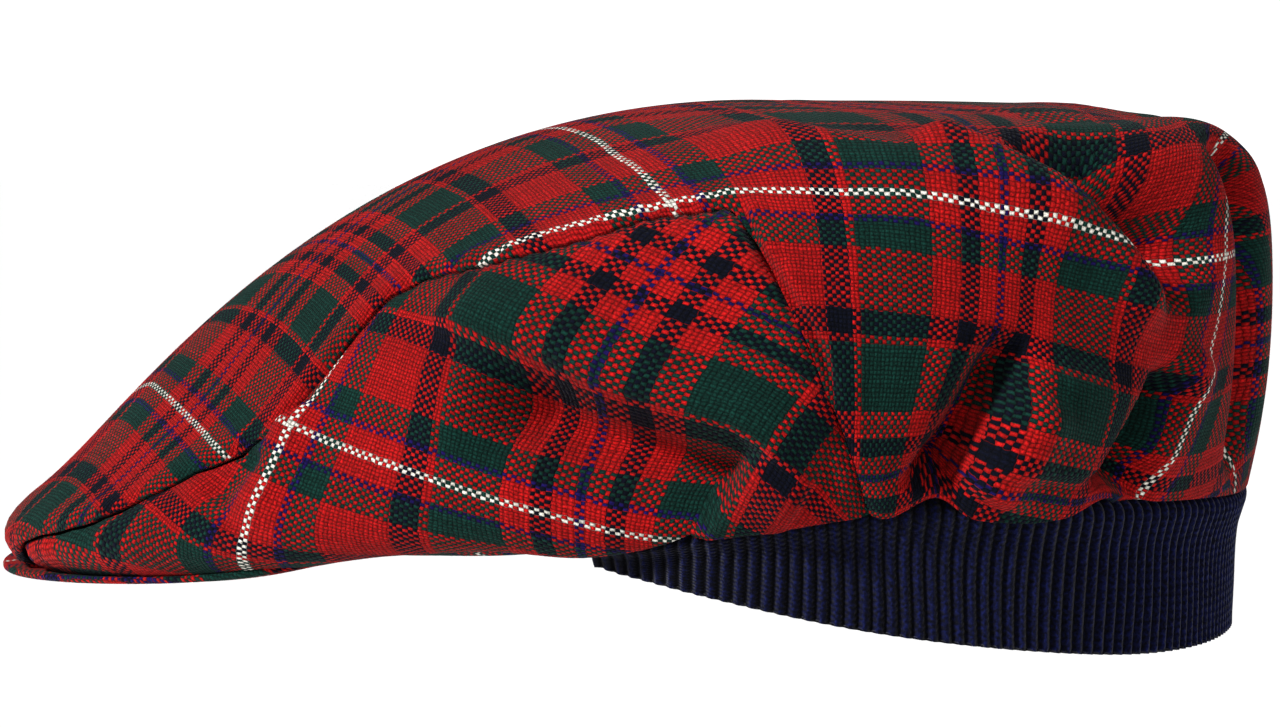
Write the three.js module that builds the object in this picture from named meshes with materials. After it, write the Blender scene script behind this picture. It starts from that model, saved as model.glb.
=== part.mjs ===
// A flat cap in checked wool with a rib-knitted band that hangs round the back of the neck.
// Units are millimetres. Z is up, the peak points towards -Y and the wearer's left is +X.
// The origin is the middle of the head opening, level with the temples.
//
// Every surface is described round one upright axis. A place on it is an angle, 0 at the
// peak, 90 at the wearer's left and 180 at the back, and a share "down" from the middle of
// the crown, 0, to its lower rim, 1.

import * as THREE from 'three';
import { mergeVertices } from 'three/addons/utils/BufferGeometryUtils.js';

// Driving dimensions
const axisBehindOrigin = 15; // the upright axis stands over the widest part of the head
const crownHeight = 89;
const clothWall = 2.2; // wool with its backing
const seamGap = 0.4;
const peakWall = 3.2;
const ribPitch = 2.75;
const ribRelief = 0.35;

// Plan outlines round the axis: half width, reach to the front and to the back, and how
// square each half is, where 2 is an ellipse
const waistOutline = { half: 94, front: 171, back: 93.6, frontSquare: 2.5, backSquare: 2.1 };
const rimOutline = { half: 88, front: 167.5, back: 89, frontSquare: 2.5, backSquare: 2.1 };
const openingOutline = { half: 81.5, front: 115, back: 83, frontSquare: 2, backSquare: 2.1 };
const knitOutline = { half: 84.4, front: 118, back: 86, frontSquare: 2, backSquare: 2.1 };

// Crown sections, the same on both sides: heights of the rim and of the widest place, the
// waist, the share down at which the waist lies, and how high over the rim the cloth turns
// under, as a share of the way to the waist
const crownSections = [
  { angle: 0, rimZ: -9.2, waistZ: 4.5, waistAt: 0.94, turnUnder: 0.2 },
  { angle: 15, rimZ: -9, waistZ: 6, waistAt: 0.93, turnUnder: 0.2 },
  { angle: 30, rimZ: -6, waistZ: 9, waistAt: 0.9, turnUnder: 0.2 },
  { angle: 45, rimZ: -0.8, waistZ: 16, waistAt: 0.85, turnUnder: 0.15 },
  { angle: 60, rimZ: 2.3, waistZ: 24, waistAt: 0.8, turnUnder: 0.15 },
  { angle: 72, rimZ: 2, waistZ: 31, waistAt: 0.75, turnUnder: 0.15 },
  { angle: 90, rimZ: 7, waistZ: 38, waistAt: 0.7, turnUnder: 0.15 },
  { angle: 115, rimZ: 12, waistZ: 44, waistAt: 0.7, turnUnder: 0.2 },
  { angle: 150, rimZ: 10, waistZ: 48, waistAt: 0.7, turnUnder: 0.4 },
  { angle: 180, rimZ: 8, waistZ: 50, waistAt: 0.7, turnUnder: 0.5 },
];

// The crown's curve above the waist. It leaves the middle of the crown towards topReach and
// lift and comes down to the waist from shoulder and rise. Reaches are shares of the
// waist's, rise is a share of the height between waist and crown, and lift is in mm.
const crownCurves = [
  { angle: 0, topReach: 0.6, lift: 8, shoulder: 0.88, rise: 0.19 },
  { angle: 15, topReach: 0.6, lift: 7, shoulder: 0.88, rise: 0.21 },
  { angle: 30, topReach: 0.59, lift: 5, shoulder: 0.86, rise: 0.32 },
  { angle: 50, topReach: 0.59, lift: 4, shoulder: 0.89, rise: 0.54 },
  { angle: 70, topReach: 0.62, lift: 2, shoulder: 0.94, rise: 0.72 },
  { angle: 90, topReach: 0.66, lift: 1, shoulder: 0.97, rise: 0.82 },
  { angle: 115, topReach: 0.74, lift: 0, shoulder: 0.99, rise: 0.95 },
  { angle: 150, topReach: 0.84, lift: -1, shoulder: 1, rise: 1.08 },
  { angle: 180, topReach: 0.9, lift: -1, shoulder: 1, rise: 1.17 },
];

// How far down the seam of the top panel lies. It leaves the rim beside the front, climbs
// along the side, and drops back to the rim behind the ear as the V seam.
const panelSeam = [
  { angle: 14, down: 1 },
  { angle: 17, down: 0.965 },
  { angle: 25, down: 0.926 },
  { angle: 29, down: 0.9 },
  { angle: 32, down: 0.852 },
  { angle: 35, down: 0.812 },
  { angle: 39, down: 0.785 },
  { angle: 41, down: 0.712 },
  { angle: 44, down: 0.672 },
  { angle: 49, down: 0.572 },
  { angle: 55, down: 0.529 },
  { angle: 61, down: 0.5 },
  { angle: 70, down: 0.475 },
  { angle: 84, down: 0.455 },
  { angle: 90, down: 0.458 },
  { angle: 96, down: 0.565 },
  { angle: 100, down: 0.652 },
  { angle: 103.5, down: 0.74 },
  { angle: 106.5, down: 0.85 },
  { angle: 109, down: 1 },
];

// Folds in the crown. Height is outwards, so hollows are below zero. The two widths are
// those above and below the line of the fold, and the line runs through places on the
// surface. Lines run backwards on the left and forwards on the right.
const folds = [
  { name: 'left side ridge', height: 3.5, above: 13, below: 4,
    line: [[48, 0.57], [55, 0.63], [66, 0.68], [75, 0.728], [91, 0.752], [97, 0.8], [103, 0.86]] },
  { name: 'left side hollow', height: -6, above: 8, below: 11,
    line: [[58, 0.7], [66, 0.745], [73, 0.785], [80, 0.8], [86, 0.83], [91, 0.87]] },
  { name: 'left side bulge', height: 3, above: 7, below: 7,
    line: [[94, 0.81], [97, 0.85], [101, 0.9]] },
  { name: 'left front ridge', height: 3, above: 6, below: 6,
    line: [[39.2, 0.74], [40.8, 0.77], [41.2, 0.83], [39.7, 0.92]] },
  { name: 'left front hollow', height: -3, above: 6, below: 6,
    line: [[37.5, 0.79], [37.5, 0.84], [35.5, 0.893]] },
  { name: 'left pleat', height: -6, above: 7, below: 6,
    line: [[124, 0.68], [120.7, 0.73], [117.2, 0.78], [114.8, 0.83], [114.2, 0.9], [114.2, 0.97]] },
  { name: 'left pleat puff', height: 3.5, above: 8, below: 8,
    line: [[127, 0.76], [123.5, 0.82], [121.5, 0.88], [121, 0.95]] },
  { name: 'left rear puff', height: 3.5, above: 16, below: 16,
    line: [[133, 0.72], [131, 0.82], [130, 0.92]] },
  { name: 'left corner pleat', height: -6, above: 9, below: 6,
    line: [[149, 0.76], [145.5, 0.8], [143.5, 0.84], [141.2, 0.89], [140, 0.96]] },
  { name: 'left corner ridge', height: 3, above: 6, below: 6,
    line: [[157, 0.74], [154, 0.79], [150, 0.85], [146, 0.94]] },
  { name: 'left low top ridge', height: 3.5, above: 8, below: 12,
    line: [[67, 0.21], [93, 0.27], [108, 0.36], [115.7, 0.44], [121, 0.49], [130.8, 0.54], [138, 0.58]] },
  { name: 'left high top ridge', height: 3, above: 7, below: 9,
    line: [[121, 0.26], [121.5, 0.36], [126.7, 0.44], [136, 0.55], [143.5, 0.66], [148, 0.71]] },
  { name: 'left top valley', height: -5.5, above: 11, below: 9,
    line: [[133, 0.3], [135, 0.4], [139, 0.48], [143, 0.54], [146.5, 0.59], [149, 0.64], [153, 0.69]] },
  { name: 'centre back groove', height: -7.5, above: 8, below: 8,
    line: [[180, 0.36], [180, 0.5], [180, 0.7], [180, 0.84], [180, 0.96]] },
  { name: 'right back top ridge', height: 1.8, above: 9, below: 9,
    line: [[200, 0.45], [205, 0.35], [215, 0.25]] },
  { name: 'right corner pleat', height: -6, above: 7, below: 5,
    line: [[220, 0.96], [218, 0.88], [215, 0.82], [211, 0.76]] },
  { name: 'right rear puff', height: 3, above: 15, below: 15,
    line: [[229, 0.93], [228, 0.82], [226, 0.73]] },
  { name: 'right pleat', height: -5, above: 6, below: 6,
    line: [[245, 0.97], [245, 0.89], [243, 0.81], [239, 0.74]] },
  { name: 'right top ridge', height: 3.5, above: 7, below: 10,
    line: [[222, 0.58], [232, 0.53], [243, 0.46], [255, 0.36], [272, 0.27]] },
  { name: 'right top valley', height: -4, above: 10, below: 9,
    line: [[217, 0.52], [223, 0.44], [230, 0.34]] },
  { name: 'right side ridge', height: 3, above: 12, below: 5,
    line: [[259, 0.84], [266, 0.79], [275, 0.745], [285, 0.71], [296, 0.66], [308, 0.6]] },
  { name: 'right side hollow', height: -5, above: 8, below: 10,
    line: [[270, 0.86], [277, 0.82], [286, 0.79], [297, 0.74]] },
  { name: 'right front ridge', height: 2.5, above: 6, below: 6,
    line: [[320, 0.92], [319, 0.83], [320, 0.75]] },
];
const foldFadeShare = 0.2; // part of a fold's length over which each end fades away

// Stations round the crown from front to back, closer together where seams are steep
const stationRuns = [
  { to: 14, count: 2 },
  { to: 15, count: 1 },
  { to: 49, count: 11 },
  { to: 90, count: 8 },
  { to: 108.5, count: 7 },
  { to: 109, count: 1 },
  { to: 162, count: 11 },
  { to: 180, count: 5 },
];
const topRows = 12;
const topRowCrowding = 1.35; // above 1, rows crowd towards the panel's edge
const sideRows = 8;

// The peak's edge beside the crown's rim: how far it stands out from the rim, and how far
// its upper face lies above the rim. Towards the temples it tucks in behind the cloth.
const peakEdge = [
  { angle: 0, reach: 12.5, rise: -0.4, innerZ: 1 },
  { angle: 15, reach: 11, rise: -0.4, innerZ: 1 },
  { angle: 30, reach: 6.4, rise: -0.4, innerZ: 1 },
  { angle: 38, reach: 4, rise: -0.4, innerZ: 1 },
  { angle: 46, reach: -1.6, rise: 0.2, innerZ: 2 },
  { angle: 54, reach: -2, rise: 1.5, innerZ: 3 },
  { angle: 69, reach: -2.5, rise: 2.5, innerZ: 5 },
];
const peakColumns = 34;
const peakFullWidth = 14; // it swells in full where it is at least this wide
const shelfInside = 1.2; // how far inside the crown's rim the flat shelf along its edge starts
// Rows across the peak from the head opening out: share of the way to the shelf, then of
// the way across the shelf, how far the peak swells above a straight line there, how far
// its upper face drops at the rolled edge, and how far down its lower face lies
const peakRows = [
  { across: 0, shelf: 0, swell: 0, upperDrop: 0, lowerDrop: peakWall },
  { across: 0.35, shelf: 0, swell: 2, upperDrop: 0, lowerDrop: peakWall },
  { across: 0.7, shelf: 0, swell: 2.8, upperDrop: 0, lowerDrop: peakWall },
  { across: 0.9, shelf: 0, swell: 2, upperDrop: 0, lowerDrop: peakWall },
  { across: 1, shelf: 0, swell: 0, upperDrop: 0, lowerDrop: 1.9 },
  { across: 1, shelf: 1, swell: 0, upperDrop: 0.3, lowerDrop: 1.5 },
];

// The knitted band's lower edge from one temple round to the back, the same on both sides
const knitEdge = [
  { angle: 71, lowZ: -0.6 },
  { angle: 74, lowZ: -1.6 },
  { angle: 78, lowZ: -2.8 },
  { angle: 87, lowZ: -5.6 },
  { angle: 110, lowZ: -12.2 },
  { angle: 132, lowZ: -16.8 },
  { angle: 153, lowZ: -19.8 },
  { angle: 180, lowZ: -20.5 },
];
// The band's faces from its tucked top down: share of the way up from its lower edge to the
// crown's rim, how far above that, how far its outer face stands out from the plain
// outline, and its thickness
const knitFace = [
  { up: 1, lift: 5, out: -0.4, wall: 2.9 },
  { up: 1, lift: -0.7, out: -0.4, wall: 2.9 },
  { up: 0.96, lift: -1, out: 2.2, wall: 5.5 },
  { up: 0.6, lift: 0, out: 0, wall: 3.3 },
  { up: 0, lift: 0, out: -0.6, wall: 2.4 },
];
const knitFullHeight = 12; // it flares in full below the rim where it is at least this high

const seamStart = panelSeam[0].angle;
const seamEnd = panelSeam[panelSeam.length - 1].angle;

const radians = THREE.MathUtils.degToRad;
const lerp = THREE.MathUtils.lerp;
const clamp = THREE.MathUtils.clamp;

// Reads one column of a table at an angle, by a smooth curve through its rows
function readTable(rows, angle, column) {
  const last = rows.length - 1;
  let row = 0;
  while (row < last - 1 && angle > rows[row + 1].angle) {
    row += 1;
  }
  const slopeAt = (k) => {
    if (k === 0 || k === last) {
      return 0;
    }
    return (rows[k + 1][column] - rows[k - 1][column]) / (rows[k + 1].angle - rows[k - 1].angle);
  };
  const span = rows[row + 1].angle - rows[row].angle;
  const s = clamp((angle - rows[row].angle) / span, 0, 1);
  const s2 = s * s;
  const s3 = s2 * s;
  return (2 * s3 - 3 * s2 + 1) * rows[row][column] + (s3 - 2 * s2 + s) * span * slopeAt(row)
    + (3 * s2 - 2 * s3) * rows[row + 1][column] + (s3 - s2) * span * slopeAt(row + 1);
}

// The same angle measured from the front on either side, 0 to 180
function sideAngle(angle) {
  const turned = ((angle % 360) + 360) % 360;
  return turned > 180 ? 360 - turned : turned;
}

// Distance from the axis to a plan outline
function outlineReach(outline, angle) {
  const across = Math.abs(Math.sin(radians(angle)));
  const along = Math.cos(radians(angle));
  const reach = along > 0 ? outline.front : outline.back;
  const square = along > 0 ? outline.frontSquare : outline.backSquare;
  return ((across / outline.half) ** square + (Math.abs(along) / reach) ** square) ** (-1 / square);
}

function place(angle, reach, z) {
  const turn = radians(angle);
  return new THREE.Vector3(reach * Math.sin(turn), axisBehindOrigin - reach * Math.cos(turn), z);
}

function quadratic(a, b, c, s) {
  const r = 1 - s;
  return r * r * a + 2 * r * s * b + s * s * c;
}

function cubic(a, b, c, d, s) {
  const r = 1 - s;
  return r * r * r * a + 3 * r * r * s * b + 3 * r * s * s * c + s * s * s * d;
}

// The crown's outer surface before its folds
function plainCrown(angle, down) {
  const at = sideAngle(angle);
  const section = (column) => readTable(crownSections, at, column);
  const curve = (column) => readTable(crownCurves, at, column);
  const waistReach = outlineReach(waistOutline, angle);
  const waistZ = section('waistZ');
  const waistAt = section('waistAt');
  const shoulderReach = curve('shoulder') * waistReach;
  const shoulderZ = waistZ + curve('rise') * (crownHeight - waistZ);
  if (down < waistAt) {
    const s = down / waistAt;
    const reach = cubic(0, curve('topReach') * waistReach, shoulderReach, waistReach, s);
    const z = cubic(crownHeight, crownHeight + curve('lift'), shoulderZ, waistZ, s);
    return place(angle, reach, z);
  }
  const s = (down - waistAt) / (1 - waistAt);
  const rimZ = section('rimZ');
  const turnZ = lerp(rimZ, waistZ, section('turnUnder'));
  const carry = (waistZ - turnZ) / (shoulderZ - waistZ); // so that both curves meet smoothly
  const turnReach = waistReach + carry * (waistReach - shoulderReach);
  const reach = quadratic(waistReach, turnReach, outlineReach(rimOutline, angle), s);
  return place(angle, reach, quadratic(waistZ, turnZ, rimZ, s));
}

// Outward direction of the plain surface
function crownNormal(angle, down) {
  if (down < 0.01) {
    return new THREE.Vector3(0, 0, 1);
  }
  const turnStep = 0.4;
  const downStep = 0.004;
  const round = plainCrown(angle + turnStep, down).sub(plainCrown(angle - turnStep, down));
  const lower = plainCrown(angle, Math.min(down + downStep, 1));
  const fall = lower.sub(plainCrown(angle, down - downStep));
  return fall.cross(round).normalize();
}

// A fold's line laid on the plain surface, in short straight steps
function layFold(fold) {
  const stepsPerSpan = 5;
  const points = [];
  for (let k = 0; k < fold.line.length - 1; k += 1) {
    for (let step = 0; step < stepsPerSpan; step += 1) {
      const s = step / stepsPerSpan;
      const angle = lerp(fold.line[k][0], fold.line[k + 1][0], s);
      points.push(plainCrown(angle, lerp(fold.line[k][1], fold.line[k + 1][1], s)));
    }
  }
  const end = fold.line[fold.line.length - 1];
  points.push(plainCrown(end[0], end[1]));
  return points;
}

const laidFolds = folds.map((fold) => ({ ...fold, points: layFold(fold) }));

// How far the folds push a point of the plain surface outwards
function foldHeight(point, normal) {
  let height = 0;
  for (const fold of laidFolds) {
    const steps = fold.points.length - 1;
    let nearest = Infinity;
    let side = 0;
    let along = 0;
    for (let k = 0; k < steps; k += 1) {
      const run = fold.points[k + 1].clone().sub(fold.points[k]);
      const offset = point.clone().sub(fold.points[k]);
      const share = clamp(offset.dot(run) / run.lengthSq(), 0, 1);
      offset.addScaledVector(run, -share);
      if (offset.length() < nearest) {
        nearest = offset.length();
        side = run.cross(offset).dot(normal);
        along = (k + share) / steps;
      }
    }
    const width = side > 0 ? fold.above : fold.below;
    const fade = THREE.MathUtils.smoothstep(Math.min(along, 1 - along), 0, foldFadeShare);
    height += fold.height * fade * Math.exp(-((nearest / width) ** 2));
  }
  return height;
}

// One point of the finished crown on its outer face and the point behind it on its inner
function crownPair(angle, down) {
  const normal = crownNormal(angle, down);
  const outer = plainCrown(angle, down);
  outer.addScaledVector(normal, foldHeight(outer, normal));
  return { outer, inner: outer.clone().addScaledVector(normal, -clothWall) };
}

// How steeply the panel seam climbs between two angles, as rise over run on the surface
function seamClimb(from, to) {
  const start = readTable(panelSeam, from, 'down');
  const end = readTable(panelSeam, to, 'down');
  const run = plainCrown(from, start).distanceTo(plainCrown(to, start));
  return plainCrown(to, start).distanceTo(plainCrown(to, end)) / run;
}

// Share down of the panel seam's edge: way is -1 for the edge above it and 1 for the one
// below. The edges part by the seam gap, measured square to the seam.
function seamDown(angle, way) {
  const at = sideAngle(angle);
  if (at <= seamStart || at >= seamEnd) {
    return 1;
  }
  const step = 1.5;
  const down = readTable(panelSeam, at, 'down');
  const climb = Math.max(seamClimb(at, at + step), seamClimb(at, at - step));
  const lengthPerDown = plainCrown(at, down).distanceTo(plainCrown(at, down - 0.01)) / 0.01;
  const halfGap = 0.5 * seamGap * Math.sqrt(1 + climb * climb);
  return clamp(down + way * halfGap / lengthPerDown, 0, 1);
}

// Angles of the stations on one side, front to back
function stationAngles() {
  const angles = [0];
  let from = 0;
  for (const run of stationRuns) {
    for (let k = 1; k <= run.count; k += 1) {
      angles.push(lerp(from, run.to, k / run.count));
    }
    from = run.to;
  }
  return angles;
}

// Joins rows of points into triangles. Rows that form rings close on themselves. The first
// columns, up to leftColumns, are split along the other diagonal so both sides match.
function stitch(rows, ring, leftColumns) {
  const triangles = [];
  for (let r = 0; r < rows.length - 1; r += 1) {
    const size = rows[r].length;
    const last = ring ? size : size - 1;
    for (let c = 0; c < last; c += 1) {
      const d = (c + 1) % size;
      const [a, b, e, f] = [rows[r][c], rows[r + 1][c], rows[r + 1][d], rows[r][d]];
      triangles.push(...(c < leftColumns ? [[a, b, f], [b, e, f]] : [[a, b, e], [a, e, f]]));
    }
  }
  return triangles;
}

// A closed body between a front face and the back face behind it, both as rows of points
// that run down the rows and along rising angles
function closedSheet(front, back, ring, leftColumns) {
  const last = front.length - 1;
  const triangles = [
    ...stitch(front, ring, leftColumns),
    ...stitch([...back].reverse(), ring, leftColumns),
    ...stitch([front[last], back[last]], ring, leftColumns),
    ...stitch([back[0], front[0]], ring, leftColumns),
  ];
  if (!ring) {
    const end = front[0].length - 1;
    triangles.push(...stitch(front.map((row, r) => [back[r][0], row[0]]), false, 0));
    triangles.push(...stitch(front.map((row, r) => [row[end], back[r][end]]), false, 0));
  }
  return solidFrom(triangles);
}

// Merges shared corners and drops the flat slivers where a face narrows to a point
function solidFrom(triangles) {
  const flat = triangles.flat().flatMap((point) => point.toArray());
  const loose = new THREE.BufferGeometry();
  loose.setAttribute('position', new THREE.Float32BufferAttribute(flat, 3));
  const merged = mergeVertices(loose, 1e-4);
  const index = merged.index.array;
  const kept = [];
  for (let k = 0; k < index.length; k += 3) {
    const [a, b, c] = [index[k], index[k + 1], index[k + 2]];
    if (a !== b && b !== c && c !== a) {
      kept.push(a, b, c);
    }
  }
  merged.setIndex(kept);
  return merged;
}

// A panel of the crown's cloth over some angles, where shareDown gives each row's place
function clothPanel(angles, rows, shareDown, ring) {
  const leftColumns = angles.filter((angle) => angle < 180).length;
  const outer = [];
  const inner = [];
  for (let row = 0; row <= rows; row += 1) {
    const pairs = angles.map((angle) => crownPair(angle, shareDown(angle, row / rows)));
    outer.push(pairs.map((pair) => pair.outer));
    inner.push(pairs.map((pair) => pair.inner));
  }
  return closedSheet(outer, inner, ring, leftColumns);
}

function topPanel() {
  const left = stationAngles();
  const right = left.slice(1, -1).reverse().map((angle) => 360 - angle);
  const rowShare = (share) => 1 - (1 - share) ** topRowCrowding;
  const shareDown = (angle, share) => rowShare(share) * seamDown(angle, -1);
  return clothPanel([...left, ...right], topRows, shareDown, true);
}

function sidePanel(side) {
  const left = stationAngles().filter((angle) => angle > seamStart && angle < seamEnd);
  const angles = side === 'left' ? left : left.map((angle) => 360 - angle).reverse();
  return clothPanel(angles, sideRows, (angle, share) => lerp(seamDown(angle, 1), 1, share), false);
}

// The peak's upper and lower faces along one ray from the axis, inner edge first
function peakRay(angle) {
  const at = Math.abs(angle);
  const beyondRim = readTable(peakEdge, at, 'reach');
  const edgeReach = outlineReach(rimOutline, angle) + beyondRim;
  const shelfReach = edgeReach - Math.max(beyondRim, 0) - shelfInside;
  const innerReach = Math.min(outlineReach(openingOutline, angle) + seamGap, shelfReach - 2);
  const innerZ = readTable(peakEdge, at, 'innerZ');
  const edgeZ = readTable(crownSections, at, 'rimZ') + readTable(peakEdge, at, 'rise');
  const narrow = Math.min(1, (shelfReach - innerReach) / peakFullWidth);
  const upper = [];
  const lower = [];
  for (const row of peakRows) {
    const reach = lerp(lerp(innerReach, shelfReach, row.across), edgeReach, row.shelf);
    const topZ = lerp(innerZ, edgeZ, row.across) + row.swell * narrow;
    upper.push(place(angle, reach, topZ - row.upperDrop));
    lower.push(place(angle, reach, topZ - row.lowerDrop));
  }
  return { upper, lower };
}

function peak() {
  const half = peakEdge[peakEdge.length - 1].angle;
  const rays = [];
  for (let column = 0; column <= peakColumns; column += 1) {
    rays.push(peakRay(lerp(-half, half, column / peakColumns)));
  }
  const rows = (face) => peakRows.map((row, r) => rays.map((ray) => ray[face][r]));
  return closedSheet(rows('upper'), rows('lower'), false, peakColumns / 2);
}

// The knitted band: ribs stand out and in by turns from one column to the next
function ribBand() {
  const start = knitEdge[0].angle;
  const columns = 2 * Math.round(bandLength(start) / ribPitch);
  const outer = knitFace.map(() => []);
  const inner = knitFace.map(() => []);
  for (let column = 0; column <= columns; column += 1) {
    const angle = lerp(start, 360 - start, column / columns);
    const relief = column % 2 === 0 ? -ribRelief : ribRelief;
    const lowZ = readTable(knitEdge, sideAngle(angle), 'lowZ');
    const rimZ = readTable(crownSections, sideAngle(angle), 'rimZ');
    const flare = Math.min(1, (rimZ - lowZ) / knitFullHeight);
    const base = outlineReach(knitOutline, angle) + relief;
    knitFace.forEach((point, row) => {
      const z = lerp(lowZ, rimZ, point.up) + (point.lift > 0 ? point.lift : point.lift * flare);
      const out = point.out > 0 ? point.out * flare : point.out;
      outer[row].push(place(angle, base + out, z));
      inner[row].push(place(angle, base + point.out - point.wall, z));
    });
  }
  return closedSheet(outer, inner, false, columns / 2);
}

// Length of the band's plan outline from temple to temple round the back
function bandLength(start) {
  const steps = 72;
  let length = 0;
  let before = place(start, outlineReach(knitOutline, start), 0);
  for (let k = 1; k <= steps; k += 1) {
    const angle = lerp(start, 360 - start, k / steps);
    const here = place(angle, outlineReach(knitOutline, angle), 0);
    length += here.distanceTo(before);
    before = here;
  }
  return length;
}

const wool = { color: 0x7d2027, roughness: 0.92, metalness: 0 };
const woolEdge = { color: 0x5a1c22, roughness: 0.92, metalness: 0 };
const navyKnit = { color: 0x0d1233, roughness: 0.95, metalness: 0 };

function piece(name, geometry, finish) {
  geometry.computeVertexNormals();
  const mesh = new THREE.Mesh(geometry, new THREE.MeshStandardMaterial(finish));
  mesh.name = name;
  return mesh;
}

const cap = new THREE.Group();
cap.add(piece('top_panel', topPanel(), wool));
cap.add(piece('side_panel_left', sidePanel('left'), wool));
cap.add(piece('side_panel_right', sidePanel('right'), wool));
cap.add(piece('peak', peak(), woolEdge));
cap.add(piece('rib_band', ribBand(), navyKnit));

export default cap;
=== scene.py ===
import bmesh
import bpy
import math
import numpy as np
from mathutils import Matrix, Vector


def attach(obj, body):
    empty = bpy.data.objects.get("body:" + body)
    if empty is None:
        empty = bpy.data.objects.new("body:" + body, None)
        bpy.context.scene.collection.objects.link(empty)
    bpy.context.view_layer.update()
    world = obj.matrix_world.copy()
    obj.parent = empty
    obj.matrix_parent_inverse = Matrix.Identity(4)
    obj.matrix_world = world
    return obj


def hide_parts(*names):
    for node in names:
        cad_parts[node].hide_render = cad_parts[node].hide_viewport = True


# A flat cap in tartan wool with a rib-knitted band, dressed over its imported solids.
# The shapes are worked out in millimetres and angles in degrees. A place on the crown is an
# angle round the upright axis, 0 at the peak and 90 at the wearer's left, and a share "down"
# from the middle of the crown, 0, to its rim, 1.

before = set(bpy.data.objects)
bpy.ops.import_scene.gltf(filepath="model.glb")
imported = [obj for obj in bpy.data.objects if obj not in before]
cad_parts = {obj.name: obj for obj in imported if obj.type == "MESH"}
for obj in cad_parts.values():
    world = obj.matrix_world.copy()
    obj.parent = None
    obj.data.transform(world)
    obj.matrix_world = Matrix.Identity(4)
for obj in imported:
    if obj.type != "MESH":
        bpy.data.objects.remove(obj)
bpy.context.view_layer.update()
mm = 0.001
print("frame loaded:", sorted(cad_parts))

# Outlines and sections of the crown, as in the solids

crown = {
    "axisY": 15.0,
    "height": 89.0,
    "wall": 2.2,
    "waist": {"half": 94.0, "front": 171.0, "back": 93.6, "frontSquare": 2.5, "backSquare": 2.1},
    "rim": {"half": 88.0, "front": 167.5, "back": 89.0, "frontSquare": 2.5, "backSquare": 2.1},
    "opening": {"half": 81.5, "front": 115.0, "back": 83.0, "frontSquare": 2.0, "backSquare": 2.1},
    "knit": {"half": 84.4, "front": 118.0, "back": 86.0, "frontSquare": 2.0, "backSquare": 2.1},
}

crownSections = {
    "angle": [0, 15, 30, 45, 60, 72, 90, 115, 150, 180],
    "rimZ": [-9.2, -9, -6, -0.8, 2.3, 2, 7, 12, 10, 8],
    "waistZ": [4.5, 6, 9, 16, 24, 31, 38, 44, 48, 50],
    "waistAt": [0.94, 0.93, 0.9, 0.85, 0.8, 0.75, 0.7, 0.7, 0.7, 0.7],
    "turnUnder": [0.2, 0.2, 0.2, 0.15, 0.15, 0.15, 0.15, 0.2, 0.4, 0.5],
}

crownCurves = {
    "angle": [0, 15, 30, 50, 70, 90, 115, 150, 180],
    "topReach": [0.6, 0.6, 0.59, 0.59, 0.62, 0.66, 0.74, 0.84, 0.9],
    "lift": [8, 7, 5, 4, 2, 1, 0, -1, -1],
    "shoulder": [0.88, 0.88, 0.86, 0.89, 0.94, 0.97, 0.99, 1, 1],
    "rise": [0.19, 0.21, 0.32, 0.54, 0.72, 0.82, 0.95, 1.08, 1.17],
}

# How far down the top panel's seam lies, from beside the front round to the V seam's foot. Its
# bend at the front corners is drawn more sharply than in the solids.
panelSeam = {
    "angle": [14, 17, 25, 29, 32, 36, 38.4, 39.6, 40.4, 41, 41.8, 43.5, 46, 50, 55,
              61, 65, 70, 76, 84, 90, 96, 100, 103.5, 106.5, 109],
    "down": [1, 0.965, 0.932, 0.902, 0.85, 0.8, 0.775, 0.735, 0.68, 0.62, 0.57, 0.545, 0.533, 0.53, 0.53,
             0.519, 0.509, 0.493, 0.468, 0.455, 0.458, 0.565, 0.652, 0.74, 0.85, 1],
}

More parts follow.
